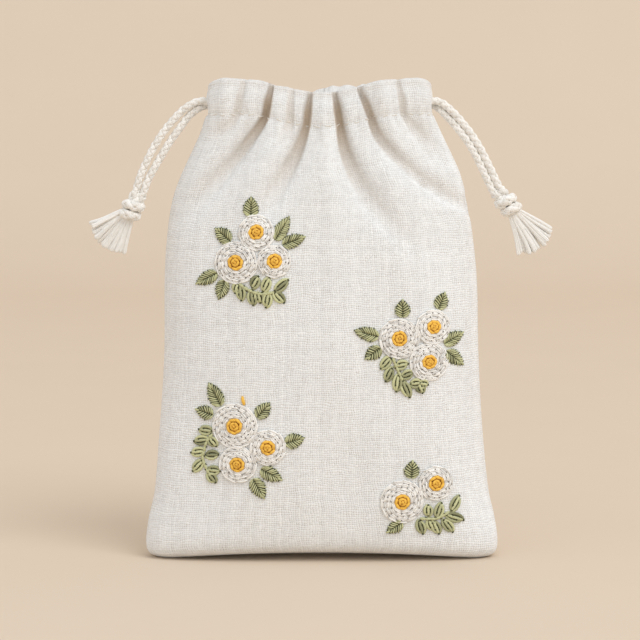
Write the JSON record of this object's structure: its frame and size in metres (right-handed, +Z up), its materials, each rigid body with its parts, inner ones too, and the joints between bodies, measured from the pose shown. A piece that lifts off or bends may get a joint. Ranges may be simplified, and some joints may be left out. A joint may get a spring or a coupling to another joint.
{
  "type": "drawstring pouch",
  "caption": "Small linen drawstring pouch standing upright, gathered at a cord casing with knotted tasselled tails, its front embroidered with groups of white flowers and green leaves.",
  "frame": {"origin": "on the floor, under the middle of the pouch", "axes": "+Z up, +X to the right of someone facing the embroidered front, the front faces -Y"},
  "size_m": [0.1759, 0.0444, 0.18],
  "materials": {
    "linen": "undyed plain-weave linen",
    "cotton_cord": "braided undyed cotton",
    "white_thread": "stranded cotton thread",
    "yellow_thread": "stranded cotton thread",
    "green_thread": "stranded cotton thread"
  },
  "bodies": {
    "root": {"pouch_body": "linen", "drawstring_left": "cotton_cord", "drawstring_right": "cotton_cord", "knot_left": "cotton_cord", "knot_right": "cotton_cord", "tassel_left": "cotton_cord", "tassel_right": "cotton_cord", "petals_1": "white_thread", "petals_2": "white_thread", "petals_3": "white_thread", "petals_4": "white_thread", "petals_5": "white_thread", "petals_6": "white_thread", "petals_7": "white_thread", "petals_8": "white_thread", "petals_9": "white_thread", "petals_10": "white_thread", "petals_11": "white_thread", "centre_1": "yellow_thread", "centre_2": "yellow_thread", "centre_3": "yellow_thread", "centre_4": "yellow_thread", "centre_5": "yellow_thread", "centre_6": "yellow_thread", "centre_7": "yellow_thread", "centre_8": "yellow_thread", "centre_9": "yellow_thread", "centre_10": "yellow_thread", "centre_11": "yellow_thread", "leaf_1": "green_thread", "leaf_2": "green_thread", "leaf_3": "green_thread", "leaf_4": "green_thread", "leaf_5": "green_thread", "leaf_6": "green_thread", "leaf_7": "green_thread", "leaf_8": "green_thread", "leaf_9": "green_thread", "leaf_10": "green_thread", "leaf_11": "green_thread", "leaf_12": "green_thread", "leaf_13": "green_thread", "leaf_14": "green_thread", "leaf_15": "green_thread", "leaf_16": "green_thread", "leaf_17": "green_thread", "leaf_18": "green_thread", "leaf_19": "green_thread", "leaf_20": "green_thread"}
  },
  "joints": []
}
